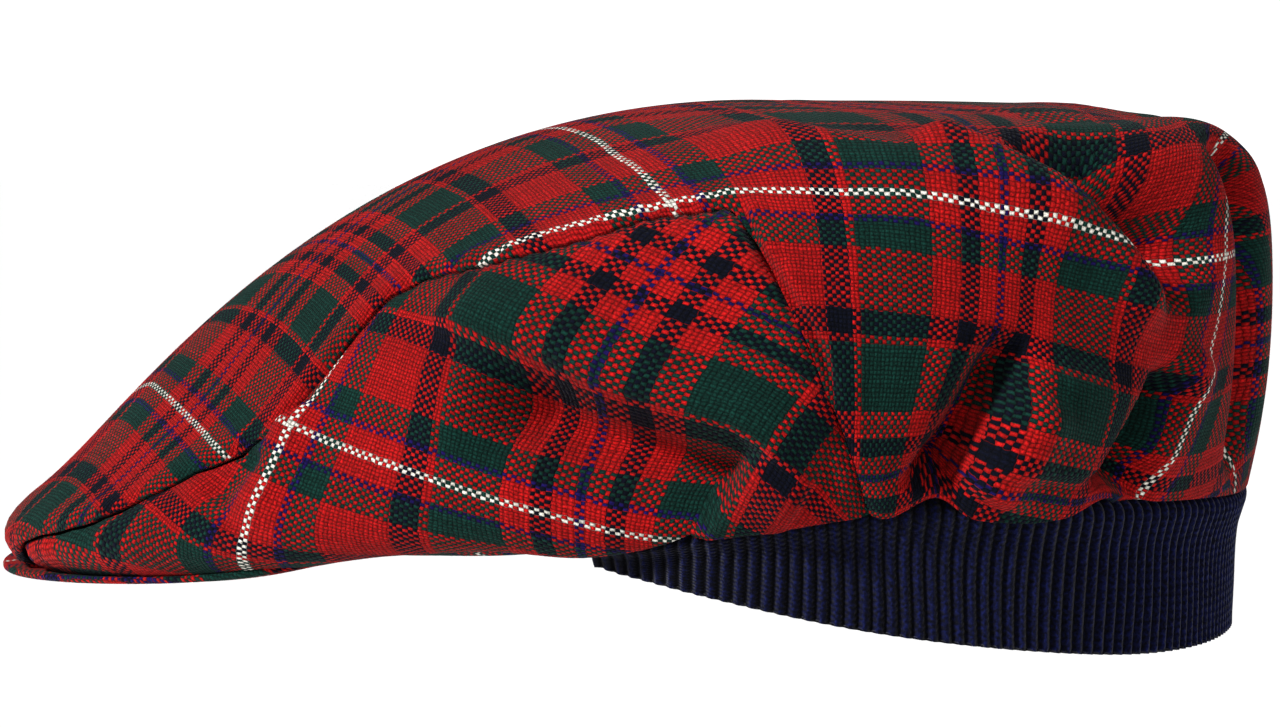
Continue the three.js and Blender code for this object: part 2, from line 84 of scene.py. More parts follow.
# Folds: height outwards, widths above and below the line, and places along it. Lines run
# backwards on the left and forwards on the right, so "above" is towards the crown's middle.
folds = [
    {"name": "left side ridge", "height": 5.5, "above": 13, "below": 2.4,
     "line": [(48, 0.58), (55, 0.63), (66, 0.675), (75, 0.708), (83, 0.722), (92, 0.745),
              (97.5, 0.79), (103, 0.86)]},
    {"name": "left side hollow", "height": -15, "above": 7, "below": 10,
     "line": [(58, 0.7), (66, 0.74), (73, 0.768), (80, 0.79), (86, 0.82), (90, 0.85), (92, 0.875)]},
    {"name": "left side bulge", "height": 4, "above": 7, "below": 7,
     "line": [(94, 0.81), (97, 0.85), (101, 0.9)]},
    {"name": "left lap line", "height": -2, "above": 1.1, "below": 1.1,
     "line": [(90, 0.44), (91.2, 0.455), (94.3, 0.532), (97.8, 0.593), (101.6, 0.66),
              (103.4, 0.71), (104.6, 0.76)]},
    {"name": "right lap line", "height": -2, "above": 1.1, "below": 1.1,
     "line": [(255.4, 0.76), (256.6, 0.71), (258.4, 0.66), (262.2, 0.593), (265.7, 0.532),
              (268.8, 0.455)]},
    {"name": "left front ridge", "height": 3, "above": 6, "below": 6,
     "line": [(39.2, 0.74), (40.8, 0.77), (41.2, 0.83), (39.7, 0.92)]},
    {"name": "left front hollow", "height": -3, "above": 6, "below": 6,
     "line": [(37.5, 0.79), (37.5, 0.84), (35.5, 0.893)]},
    {"name": "left pleat", "height": -14, "above": 3.4, "below": 5.5,
     "line": [(127, 0.68), (124.3, 0.73), (121.6, 0.78), (119.4, 0.83), (117.8, 0.88),
              (116.4, 0.93), (115.5, 0.975)]},
    {"name": "left pleat puff", "height": 5.5, "above": 7, "below": 6,
     "line": [(130, 0.76), (126.5, 0.82), (124, 0.88), (122.5, 0.95)]},
    {"name": "left rear puff", "height": 3.5, "above": 16, "below": 16,
     "line": [(133, 0.72), (131, 0.82), (130, 0.92)]},
    {"name": "left corner pleat", "height": -12, "above": 7, "below": 4.5,
     "line": [(152.5, 0.76), (149, 0.8), (146.6, 0.84), (144.2, 0.89), (141.5, 0.95), (140.5, 0.985)]},
    {"name": "left corner ridge", "height": 3, "above": 6, "below": 6,
     "line": [(157, 0.74), (154, 0.79), (150, 0.85), (146, 0.94)]},
    {"name": "left low top ridge", "height": 4, "above": 6, "below": 12,
     "line": [(67, 0.21), (93, 0.27), (108, 0.36), (115.7, 0.44), (121, 0.49), (130.8, 0.54),
              (138, 0.58)]},
    {"name": "left high top ridge", "height": 6, "above": 4.5, "below": 8,
     "line": [(121, 0.26), (121.5, 0.36), (126.7, 0.44), (136, 0.55), (143.5, 0.66), (148, 0.71)]},
    {"name": "left top valley", "height": -17, "above": 14, "below": 5.5,
     "line": [(134, 0.3), (136.5, 0.4), (140.5, 0.48), (144.5, 0.54), (148, 0.59), (151, 0.64),
              (155, 0.69)]},
    {"name": "centre back groove", "height": -13, "above": 5, "below": 5,
     "line": [(171, 0.4), (171, 0.5), (171, 0.7), (171, 0.84), (171, 0.99)]},
    {"name": "back right lip", "height": 1, "above": 6, "below": 6,
     "line": [(179, 0.42), (179, 0.6), (179, 0.8), (179, 0.97)]},
    {"name": "back top ridge", "height": 0.8, "above": 9, "below": 9,
     "line": [(155, 0.45), (163, 0.42), (172, 0.4), (183, 0.4), (192, 0.42)]},
    {"name": "back top dip", "height": -2, "above": 9, "below": 9,
     "line": [(140, 0.2), (165, 0.24), (195, 0.24), (220, 0.22)]},
    {"name": "far top ridge", "height": 0.6, "above": 6, "below": 6,
     "line": [(235, 0.2), (222, 0.235), (214, 0.245), (207, 0.235), (195, 0.2)]},
    {"name": "right back corner dip", "height": -2.6, "above": 9, "below": 9,
     "line": [(178, 0.41), (186, 0.385), (194, 0.37), (202, 0.35), (209, 0.32)]},
    {"name": "right corner pleat", "height": -6, "above": 7, "below": 5,
     "line": [(220, 0.96), (218, 0.88), (215, 0.82), (211, 0.76)]},
    {"name": "right rear puff", "height": 3, "above": 15, "below": 15,
     "line": [(229, 0.93), (228, 0.82), (226, 0.73)]},
    {"name": "right pleat", "height": -6, "above": 5, "below": 5,
     "line": [(245, 0.97), (245, 0.89), (243, 0.81), (239, 0.74)]},
    {"name": "right top ridge", "height": 3.5, "above": 7, "below": 10,
     "line": [(222, 0.58), (232, 0.53), (243, 0.46), (255, 0.36), (272, 0.27)]},
    {"name": "right top valley", "height": -5, "above": 9, "below": 8,
     "line": [(217, 0.52), (223, 0.44), (230, 0.34)]},
    {"name": "right side ridge", "height": 3, "above": 12, "below": 5,
     "line": [(259, 0.84), (266, 0.79), (275, 0.745), (285, 0.71), (296, 0.66), (308, 0.6)]},
    {"name": "right side hollow", "height": -5.5, "above": 7, "below": 9,
     "line": [(270, 0.86), (277, 0.82), (286, 0.79), (297, 0.74)]},
    {"name": "right front ridge", "height": 2.5, "above": 6, "below": 6,
     "line": [(320, 0.92), (319, 0.83), (320, 0.75)]},
]
foldFadeShare = 0.2

# How far the crown's lower edge hangs below its plain line, where the cloth is puffed or drawn
# up, and how far it swells outwards for each millimetre of that
edgeSag = {
    "from": 0.78,
    "rearFrom": 100, "rearSwell": 0.5, "frontSwell": 1.5,
    "angle": [0, 15, 30, 42, 50, 109, 113, 117, 121, 126, 131, 136, 141, 150, 165, 180],
    "drop": [0.8, 0.8, 0.8, 0.4, 0, 0, -1, -3, 0.8, 1.7, 1.7, 0.5, -2.6, -1.6, -1.6, -1.4],
}


def readTable(table, column, at, by="angle"):
    # smooth curve through a table's rows, level at both ends
    xs = np.array(table[by], float)
    ys = np.array(table[column], float)
    slopes = np.zeros_like(ys)
    slopes[1:-1] = (ys[2:] - ys[:-2]) / (xs[2:] - xs[:-2])
    row = np.clip(np.searchsorted(xs, at, side="right") - 1, 0, len(xs) - 2)
    span = xs[row + 1] - xs[row]
    s = np.clip((at - xs[row]) / span, 0, 1)
    s2 = s * s
    s3 = s2 * s
    return ((2 * s3 - 3 * s2 + 1) * ys[row] + (s3 - 2 * s2 + s) * span * slopes[row]
            + (3 * s2 - 2 * s3) * ys[row + 1] + (s3 - s2) * span * slopes[row + 1])


def smoothStep(low, high, value):
    s = np.clip((value - low) / (high - low), 0, 1)
    return s * s * (3 - 2 * s)


def mix(a, b, s):
    return a + (b - a) * s


def sideAngle(angle):
    turned = np.mod(angle, 360.0)
    return np.where(turned > 180, 360 - turned, turned)


def outlineReach(outline, angle):
    across = np.abs(np.sin(np.radians(angle)))
    along = np.cos(np.radians(angle))
    reach = np.where(along > 0, outline["front"], outline["back"])
    square = np.where(along > 0, outline["frontSquare"], outline["backSquare"])
    return ((across / outline["half"]) ** square + (np.abs(along) / reach) ** square) ** (-1 / square)


def place(angle, reach, z):
    turn = np.radians(angle)
    return np.stack([reach * np.sin(turn), crown["axisY"] - reach * np.cos(turn), z + 0 * turn], -1)


def plainCrown(angle, down):
    # the crown's outer face before its folds
    angle, down = np.broadcast_arrays(np.asarray(angle, float), np.asarray(down, float))
    at = sideAngle(angle)
    waistReach = outlineReach(crown["waist"], angle)
    rimReach = outlineReach(crown["rim"], angle)
    rimZ = readTable(crownSections, "rimZ", at)
    waistZ = readTable(crownSections, "waistZ", at)
    waistAt = readTable(crownSections, "waistAt", at)
    turnZ = mix(rimZ, waistZ, readTable(crownSections, "turnUnder", at))
    topReach = readTable(crownCurves, "topReach", at) * waistReach
    topZ = crown["height"] + readTable(crownCurves, "lift", at)
    shoulderReach = readTable(crownCurves, "shoulder", at) * waistReach
    shoulderZ = mix(waistZ, crown["height"], readTable(crownCurves, "rise", at))
    s = np.clip(down / waistAt, 0, 1)
    r = 1 - s
    upperReach = 3 * r * r * s * topReach + 3 * r * s * s * shoulderReach + s ** 3 * waistReach
    upperZ = (r ** 3 * crown["height"] + 3 * r * r * s * topZ
              + 3 * r * s * s * shoulderZ + s ** 3 * waistZ)
    s = np.clip((down - waistAt) / (1 - waistAt), 0, 1)
    r = 1 - s
    turnReach = waistReach + (waistZ - turnZ) / (shoulderZ - waistZ) * (waistReach - shoulderReach)
    lowerReach = r * r * waistReach + 2 * r * s * turnReach + s * s * rimReach
    lowerZ = r * r * waistZ + 2 * r * s * turnZ + s * s * rimZ
    reach = np.where(down < waistAt, upperReach, lowerReach)
    return place(angle, reach, np.where(down < waistAt, upperZ, lowerZ))


def crownNormal(angle, down):
    turnStep = 0.4
    downStep = 0.004
    across = plainCrown(angle + turnStep, down) - plainCrown(angle - turnStep, down)
    below = plainCrown(angle, np.minimum(down + downStep, 1))
    fall = below - plainCrown(angle, np.maximum(down - downStep, 0))
    normal = np.cross(fall, across)
    length = np.linalg.norm(normal, axis=-1, keepdims=True)
    upright = np.array([0.0, 0.0, 1.0])
    return np.where(np.asarray(down)[..., None] < 0.01, upright, normal / np.maximum(length, 1e-9))


def alongLine(points, line):
    # distance from each point to a line of points, the offset there and the share along it
    nearest = np.full(points.shape[:-1], 1e9)
    offset = np.zeros_like(points)
    run = np.zeros_like(points)
    share = np.zeros(points.shape[:-1])
    for k in range(len(line) - 1):
        step = line[k + 1] - line[k]
        s = np.clip((points - line[k]) @ step / (step @ step), 0, 1)
        away = points - (line[k] + s[..., None] * step)
        distance = np.linalg.norm(away, axis=-1)
        closer = distance < nearest
        nearest = np.where(closer, distance, nearest)
        offset = np.where(closer[..., None], away, offset)
        run = np.where(closer[..., None], step, run)
        share = np.where(closer, (k + s) / (len(line) - 1), share)
    return nearest, offset, run, share


def layLine(line, stepsPerSpan=5):
    rows = np.array(line, float)
    at = np.linspace(0, len(rows) - 1, stepsPerSpan * (len(rows) - 1) + 1)
    angle = np.interp(at, np.arange(len(rows)), rows[:, 0])
    down = np.interp(at, np.arange(len(rows)), rows[:, 1])
    return plainCrown(angle, down)


def foldHeight(points, normals):
    height = np.zeros(points.shape[:-1])
    for fold in folds:
        nearest, offset, run, share = alongLine(points, layLine(fold["line"]))
        side = np.einsum("...k,...k", np.cross(run, offset), normals)
        width = np.where(side > 0, fold["above"], fold["below"])
        fade = smoothStep(0, foldFadeShare, np.minimum(share, 1 - share))
        height += fold["height"] * fade * np.exp(-(nearest / width) ** 2)
    return height


# Tartan, laid over the panels at given marks: angle, share down and the yarn that lies there, counted
# across from the white line beside the left seam, and along from the white line over the top

acrossShared = [
    (55.2, 0.51, 0), (69.5, 0.475, 0), (79.8, 0.445, 0), (90.2, 0.42, 0),
    (33.8, 0.47, -38), (37.2, 0.38, -38), (43.8, 0.31, -38), (57, 0.265, -38),
    (27.8, 0.733, -69), (25, 0.552, -69), (21, 0.443, -69), (19, 0.328, -69),
    (18.8, 0.647, -91), (34, 0.738, -47), (19.2, 0.733, -91), (31, 0.825, -47),
    (29, 0.378, -47), (28.8, 0.245, -47), (47, 0.473, -12), (64.8, 0.4, -12),
    (0, 0, -80), (0, 0.5, -118), (180, 0.3, -54),
]
acrossLeft = [
    (106, 0.468, 0), (124, 0.537, 0), (138, 0.588, 0), (153.5, 0.635, 0), (159.2, 0.638, 0),
    (179, 0.64, 0), (110, 0.555, 15), (110, 0.645, 31), (110, 0.768, 54), (110, 0.833, 64),
    (110, 0.875, 69), (101, 0.655, 38), (106.2, 0.672, 38), (116, 0.688, 38), (124.8, 0.71, 38),
    (137.5, 0.763, 38), (150.8, 0.807, 38), (157, 0.823, 38), (146.8, 0.985, 65),
    (165, 0.9, 54), (165, 0.98, 66), (179, 0.9, 54), (179, 0.98, 68),
]
acrossRight = [
    (270, 0.455, -174), (300, 0.5, -182), (330, 0.55, -190), (330, 0.9, -238), (250, 0.6, -162),
    (250, 0.9, -158), (225, 0.53, -118), (225, 0.9, -112), (205, 0.64, -62), (205, 0.9, -60),
    (190, 0.64, -35), (190, 0.9, -33), (173, 0.64, -4), (173, 0.9, -2),
]
alongShared = [
    (16.2, 0.672, -138), (28, 0.74, -138), (35.2, 0.81, -138), (19.2, 0.438, -69),
    (32.5, 0.482, -69), (43, 0.55, -69), (15.8, 0.2, 0), (57.8, 0.31, 0), (74.2, 0.4, 0),
    (81.5, 0.455, 0), (18.8, 0.647, -126), (34, 0.738, -126), (19.2, 0.733, -150),
    (31, 0.825, -150), (29, 0.378, -47), (28.8, 0.245, -12), (47, 0.473, -47), (64.8, 0.4, -12),
    (30.5, 0.555, -92), (0, 0, 66), (0, 0.5, -56), (0, 0.85, -134), (180, 0.3, 116),
]
alongLeft = [
    (124, 0.585, 69), (124.2, 0.695, 69), (121, 0.768, 69), (117, 0.883, 69), (95.5, 0.608, 15),
    (102.2, 0.618, 31), (107, 0.628, 39), (107.1, 0.8, 39), (115.5, 0.64, 54), (119, 0.645, 60),
    (130.2, 0.655, 84), (138.2, 0.665, 99), (142.8, 0.667, 107), (139.5, 0.79, 100),
    (136.8, 0.9, 100), (156.5, 0.682, 125), (155.2, 0.785, 138), (155, 0.838, 138),
    (151.5, 0.932, 138), (146.8, 0.985, 138), (175, 0.64, 176), (175, 0.9, 184),
]
alongRight = [
    (270, 0.455, 108), (300, 0.5, 66), (330, 0.55, -4), (330, 0.9, -38), (250, 0.6, 150),
    (250, 0.9, 200), (225, 0.53, 160), (225, 0.9, 220), (205, 0.64, 176), (205, 0.9, 224),
    (190, 0.64, 180), (190, 0.9, 228), (173, 0.64, 180), (173, 0.9, 228),
]
sideAcrossMarks = [
    (41.5, 0.698, 0), (41.5, 0.782, 0), (42, 0.86, 0), (37.2, 0.985, 0), (55.2, 0.56, 38),
    (38.2, 0.905, -7), (30.5, 0.893, -34), (28.5, 0.932, -34),
    (56, 0.642, 38), (55.8, 0.68, 38), (56.5, 0.74, 38), (57.5, 0.85, 38), (54.8, 0.98, 38),
    (81.2, 0.56, 69), (77.8, 0.647, 69), (75.5, 0.723, 69), (72, 0.777, 69), (73.5, 0.902, 69),
]
sideAlongMarks = [
    (30, 0.895, -38), (37.5, 0.95, -38),
    (46.2, 0.795, 0), (57.5, 0.84, 0), (73.2, 0.897, 0), (83.8, 1, 0), (42.2, 0.58, 38),
    (49.8, 0.61, 38), (58, 0.655, 38), (72.8, 0.715, 38), (79.2, 0.73, 38), (92.8, 0.755, 38),
    (70.2, 0.512, 69), (81.2, 0.56, 69), (87, 0.585, 69), (94.5, 0.625, 69),
]
clothGive = 0.02  # how far a field may miss its marks, so that they don't pucker it
clothBlend = 20.0  # width over which the left and right fields meet over the crown
flatUnit = 100.0  # millimetres in one unit of the flat places


def flatPlace(angle, down):
    # a place on the crown laid flat round its middle
    angle, down = np.broadcast_arrays(np.asarray(angle, float), np.asarray(down, float))
    shares = np.linspace(0, 1, 25)
    path = plainCrown(angle[..., None], down[..., None] * shares)
    arc = np.linalg.norm(np.diff(path, axis=-2), axis=-1).sum(-1)
    turn = np.radians(angle)
    return np.stack([arc * np.sin(turn), -arc * np.cos(turn)], -1) / flatUnit


def plateBend(distance):
    return distance ** 2 * np.log(distance + 1e-9)


def clothField(marks):
    rows = np.array(marks, float)
    at = flatPlace(rows[:, 0], rows[:, 1])
    count = len(rows)
    table = np.zeros((count + 3, count + 3))
    table[:count, :count] = plateBend(np.linalg.norm(at[:, None] - at[None], axis=-1))
    table[:count, :count] += clothGive * np.eye(count)
    table[:count, count] = 1
    table[:count, count + 1:] = at
    table[count:, :count] = table[:count, count:].T
    weights = np.linalg.solve(table, np.concatenate([rows[:, 2], np.zeros(3)]))
    return at, weights


def readField(field, places):
    at, weights = field
    value = weights[len(at)] + places @ weights[len(at) + 1:]
    for mark, weight in zip(at, weights):
        value = value + weight * plateBend(np.linalg.norm(places - mark, axis=-1))
    return value


def topYarns(angle, down, leftSide):
    # yarns across and along at places on the top panel, which parts at the centre back seam
    places = flatPlace(angle, down)
    soft = clothBlend / flatUnit * (1 - smoothStep(0.6, 1.0, places[..., 1])) + 1e-4
    lean = math.tan(math.radians(180 - topPanel["backSeam"]))
    beside = places[..., 0] - np.maximum(places[..., 1], 0) * lean
    share = smoothStep(-1, 1, beside / soft + np.where(leftSide, 1e-3, -1e-3) / soft)
    across = mix(readField(clothField(acrossShared + acrossRight), places),
                 readField(clothField(acrossShared + acrossLeft), places), share)
    along = mix(readField(clothField(alongShared + alongRight), places),
                readField(clothField(alongShared + alongLeft), places), share)
    return np.stack([across, along], -1)


def sideYarns(angle, down, shift):
    places = flatPlace(sideAngle(angle), down)
    across = readField(clothField(sideAcrossMarks), places)
    along = readField(clothField(sideAlongMarks), places)
    return np.stack([across + shift, along + shift], -1)


# Meshes

def newPiece(name, vertices, faces, corners):
    # a mesh in metres with its yarns or stitches as its UV map, riding on the cap
    mesh = bpy.data.meshes.new(name)
    mesh.from_pydata((vertices * mm).tolist(), [], faces.tolist())
    uvMap = mesh.uv_layers.new(name="cloth")
    uvMap.data.foreach_set("uv", corners.ravel())
    shape = bmesh.new()
    shape.from_mesh(mesh)
    bmesh.ops.remove_doubles(shape, verts=shape.verts, dist=0.00001)
    shape.to_mesh(mesh)
    shape.free()
    mesh.shade_smooth()
    piece = bpy.data.objects.new(name, mesh)
    bpy.context.scene.collection.objects.link(piece)
    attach(piece, "root")
    return piece


def gridFaces(rows, columns, ring):
    # quads between rows that run down and columns that run round, facing outwards
    r, c = np.meshgrid(np.arange(rows - 1), np.arange(columns if ring else columns - 1), indexing="ij")
    r = r.ravel()
    c = c.ravel()
    beside = (c + 1) % columns
    faces = np.stack([r * columns + c, (r + 1) * columns + c,
                      (r + 1) * columns + beside, r * columns + beside], -1)
    corners = np.stack([r, c, r + 1, c, r + 1, c + 1, r, c + 1], -1).reshape(-1, 4, 2)
    return faces, corners


def sheetPiece(name, points, yarns, ring=False):
    rows, columns = points.shape[:2]
    faces, corners = gridFaces(rows, columns, ring)
    uv = yarns[corners[..., 0], corners[..., 1]]
    return newPiece(name, points.reshape(-1, 3), faces, uv)


def seamLine(side, steps=90):
    angle = np.linspace(panelSeam["angle"][0], panelSeam["angle"][-1], steps)
    down = readTable(panelSeam, "down", angle)
    return plainCrown(angle if side == "left" else 360 - angle, down)


seams = {
    "halfGap": 0.06,
    "faceLength": 170,  # from the crown's middle down to its rim
    "slopeScale": 100,  # turns a share down for each degree round into a slope on the cloth
    "dip": 1.2, "dipWidth": 2.0,  # on the side panel, which passes under
    "edgeDip": 0.6, "edgeDipWidth": 0.9,  # on the top panel, whose folded edge stands over it
    "swell": 0.8, "swellAt": 3.2, "swellWidth": 3.0,
    "pucker": 0.3, "puckerPitch": 9.0, "puckerWidth": 6.0,
}


def seamShape(points, over):
    # cloth drawn in along the seams, and slightly puckered beside them
    height = np.zeros(points.shape[:-1])
    for side in ("left", "right"):
        line = seamLine(side)
        nearest, offset, run, share = alongLine(points, line)
        length = np.linalg.norm(np.diff(line, axis=0), axis=-1).sum()
        if over:
            height -= seams["edgeDip"] * np.exp(-(nearest / seams["edgeDipWidth"]) ** 2)
            height += seams["swell"] * np.exp(-((nearest - seams["swellAt"]) / seams["swellWidth"]) ** 2)
        else:
            height -= seams["dip"] * np.exp(-(nearest / seams["dipWidth"]) ** 2)
        wave = np.sin(2 * np.pi * share * length / seams["puckerPitch"])
        height += seams["pucker"] * wave * np.exp(-(nearest / seams["puckerWidth"]) ** 2)
    return height


def dressedFace(angle, down, over):
    points = plainCrown(angle, down)
    normals = crownNormal(angle, down)
    height = foldHeight(points, normals) + seamShape(points, over)
    drop = readTable(edgeSag, "drop", sideAngle(angle)) * smoothStep(edgeSag["from"], 1, down)
    hang = np.stack([0 * drop, 0 * drop, -drop], -1)
    rear = sideAngle(angle) > edgeSag["rearFrom"]
    swell = np.where(rear, edgeSag["rearSwell"], edgeSag["frontSwell"]) * np.maximum(drop, 0)
    return points + normals * (height + swell)[..., None] + hang


def seamShare(angle, way):
    # share down of the seam's upper or lower edge; 1 where there is no seam
    at = sideAngle(angle)
    first = panelSeam["angle"][0]
    last = panelSeam["angle"][-1]
    down = readTable(panelSeam, "down", np.clip(at, first, last))
    before = readTable(panelSeam, "down", np.clip(at - 0.5, first, last))
    after = readTable(panelSeam, "down", np.clip(at + 0.5, first, last))
    climb = np.abs(after - before) * seams["slopeScale"]
    spread = way * seams["halfGap"] / seams["faceLength"] * np.sqrt(1 + climb ** 2)
    return np.where((at <= first) | (at >= last), 1, np.clip(down + spread, 0, 1))


# Top panel: one cloth over the top and down both rear quarters

topPanel = {"rows": 96, "crowding": 1.3, "wall": 2.2, "backSeam": 171}


def panelAngles(runs):
    stops = [0.0]
    for end, step in runs:
        count = max(1, round((end - stops[-1]) / step))
        stops += list(np.linspace(stops[-1], end, count + 1)[1:])
    return np.array(stops)


halfAngles = panelAngles([(14, 1.0), (38, 1.0), (43, 0.2), (84, 0.9), (109, 0.5),
                          (topPanel["backSeam"], 0.8), (180, 0.8)])
roundAngles = np.concatenate([halfAngles, 360 - halfAngles[-2::-1]])
cut = int(np.argmin(np.abs(roundAngles - topPanel["backSeam"])))
topAngles = np.concatenate([roundAngles[cut:], roundAngles[1:cut + 1] + 360])
share = 1 - (1 - np.linspace(0, 1, topPanel["rows"] + 1)) ** topPanel["crowding"]
angleGrid, shareGrid = np.meshgrid(topAngles, share)
downGrid = shareGrid * seamShare(angleGrid, -1)
leftSide = angleGrid > 360
leftSide[:, 0] = False
yarns = topYarns(angleGrid, downGrid, leftSide)
points = dressedFace(angleGrid, downGrid, True)
topCloth = sheetPiece("top_panel_cloth", points[:, :-1], yarns, ring=True)
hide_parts("top_panel")
print("top panel:", points.shape)

# Side panels, from the peak's edge to the V seam. The right one's pattern lies some yarns over.

sidePanel = {"rows": 44, "ends": (14.2, 108.9), "leastStep": 0.2, "wall": 2.2, "rightShift": 23}

sideCloths = []
for side in ("left", "right"):
    first, last = sidePanel["ends"]
    inside = (halfAngles > first + sidePanel["leastStep"]) & (halfAngles < last - sidePanel["leastStep"])
    angles = halfAngles[inside]
    angles = np.concatenate([[first], angles, [last]])
    if side == "right":
        angles = 360 - angles[::-1]
    angleGrid, shareGrid = np.meshgrid(angles, np.linspace(0, 1, sidePanel["rows"] + 1))
    downGrid = mix(seamShare(angleGrid, 1), 1, shareGrid)
    yarns = sideYarns(angleGrid, downGrid, 0 if side == "left" else sidePanel["rightShift"])
    points = dressedFace(angleGrid, downGrid, False)
    cloth = sheetPiece("side_panel_cloth_" + side, points, yarns)
    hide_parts("side_panel_" + side)
    sideCloths.append(cloth)
print("side panels")

for cloth, sizes in ((topCloth, topPanel), (sideCloths[0], sidePanel), (sideCloths[1], sidePanel)):
    wall = cloth.modifiers.new("wall", "SOLIDIFY")
    wall.thickness = sizes["wall"] * mm
    wall.offset = -1


def closedSections(name, sections, uv):
    # a solid from closed sections side by side, with its two ends capped
    columns, around = sections.shape[:2]
    c, p = np.meshgrid(np.arange(columns - 1), np.arange(around), indexing="ij")
    c = c.ravel()
    p = p.ravel()
    beside = (p + 1) % around
    faces = np.stack([c * around + p, c * around + beside,
                      (c + 1) * around + beside, (c + 1) * around + p], -1)
    corners = np.stack([uv[c, p], uv[c, beside], uv[c + 1, beside], uv[c + 1, p]], -2)
    piece = newPiece(name, sections.reshape(-1, 3), faces, corners)
    shape = bmesh.new()
    shape.from_mesh(piece.data)
    bmesh.ops.holes_fill(shape, edges=shape.edges, sides=0)
    bmesh.ops.recalc_face_normals(shape, faces=shape.faces)
    shape.to_mesh(piece.data)
    shape.free()
    return piece


# Peak: stiff, covered in the same wool, with a rolled edge

peak = {
    "angle": [0, 15, 30, 38, 46, 54, 69],
    "reach": [12.5, 11, 6.4, 3.6, -3, -4, -4.5],
    "rise": [-0.8, -0.8, -0.8, -0.5, 1.5, 3, 4],
    "innerZ": [1, 1, 1, 1, 2, 3, 5],
    "columns": 180,
    "fullWidth": 14.0,
    "innerGap": 0.4, "leastWidth": 2,
    "shelfInside": 1.2, "shelfDrop": 0.1,
    "wall": 3.2, "edgeWall": 1.5, "thinFrom": 0.85,
    "rollRadius": 0.7, "rollDrop": 0.85, "rollHeight": 0.75,
    "rows": 15,
    "arch": {"across": [0, 0.35, 0.7, 0.9, 1], "rise": [0, 2, 2.8, 2, 0]},
    "yarnPitch": 0.9,
}


def peakArch(across):
    # the peak is domed between its inner and outer edges
    return np.interp(across, peak["arch"]["across"], peak["arch"]["rise"])


peakHalf = peak["angle"][-1]
angles = np.linspace(-peakHalf, peakHalf, peak["columns"] + 1)
at = np.abs(angles)
beyondRim = readTable(peak, "reach", at)
edgeReach = outlineReach(crown["rim"], angles) + beyondRim
shelfReach = edgeReach - np.maximum(beyondRim, 0) - peak["shelfInside"]
openingReach = outlineReach(crown["opening"], angles)
innerReach = np.minimum(openingReach + peak["innerGap"], shelfReach - peak["leastWidth"])
edgeZ = readTable(crownSections, "rimZ", at) + readTable(peak, "rise", at)
innerZ = readTable(peak, "innerZ", at)
narrow = np.minimum(1, (shelfReach - innerReach) / peak["fullWidth"])
shelfShares = (0.25, 0.5, 0.75)
rollTurns = np.radians([75, 45, 15, -15, -45, -75])
rollReach = edgeReach - peak["rollRadius"]
section = []
for across in np.linspace(0, 1, peak["rows"]):
    reach = mix(innerReach, shelfReach, across)
    section.append((reach, mix(innerZ, edgeZ, across) + peakArch(across) * narrow))
for shelf in shelfShares:
    section.append((mix(shelfReach, rollReach, shelf), edgeZ - peak["shelfDrop"]))
for turn in rollTurns:
    section.append((rollReach + peak["rollRadius"] * np.cos(turn),
                    edgeZ - peak["rollDrop"] + peak["rollHeight"] * np.sin(turn)))
for across in np.linspace(1, 0, peak["rows"]):
    reach = mix(innerReach, shelfReach, across)
    wall = mix(peak["wall"], peak["edgeWall"], smoothStep(peak["thinFrom"], 1, across))
    section.append((reach, mix(innerZ, edgeZ, across) + peakArch(across) * narrow - wall))
sections = np.stack([place(angles, reach, z) for reach, z in section], 1)
# the cloth is laid flat over the top and round the rolled edge, and again on the underside
shelfEnd = peak["rows"] - 1
rolled = peak["rows"] + len(shelfShares) + len(rollTurns)
run = np.linalg.norm(np.diff(sections[:, shelfEnd:rolled], axis=1), axis=-1).cumsum(axis=1)
laidReach = np.array([reach for reach, z in section]).T
laidReach[:, peak["rows"]:rolled] = laidReach[:, shelfEnd:peak["rows"]] + run
laid = place(angles[:, None] + 0 * laidReach, laidReach, 0)[..., :2] / peak["yarnPitch"]
peakCloth = closedSections("peak_cloth", sections, laid)
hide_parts("peak")
print("peak")

# Rib band: knitted ribs from temple to temple round the back

band = {
    "angle": [71, 74, 78, 87, 110, 132, 153, 180],
    "lowZ": [-0.6, -1.6, -2.8, -5.6, -12.2, -16.8, -19.8, -20.5],
    "ribPitch": 2.75,
    "relief": 0.5,
    "pointsPerRib": 8, "samples": 400,
    "fullHeight": 12.0,
    "wander": 0.35, "wanderHeight": 6, "wanderTurn": 7, "wanderReach": 85,  # ribs stray a little
    "rows": 40, "top": 1.25, "collarRise": 22,  # it runs on above the crown's edge, inside it
    "edgeInset": 1.75, "edgeRound": 1.25, "edgeRoll": 1.2,
}


def ribShape(ribAt):
    # rounded ribs, wider than the furrows between them
    return band["relief"] * (2 * np.abs(np.cos(np.pi * ribAt)) ** 1.3 - 1)


# the band's outer face from its lower edge up: share of the way up, how far it stands out, wall
bandFace = {
    "up": [0, 0.3, 0.6, 0.75, 0.88, 0.96, 1.04, 1.12, 1.3],
    "out": [-0.6, -0.3, 0, 0.5, 1.6, 2.2, 1.6, -0.2, -0.6],
    "wall": [2.4, 2.8, 3.3, 3.8, 4.8, 5.5, 4.6, 2.9, 2.9],
}

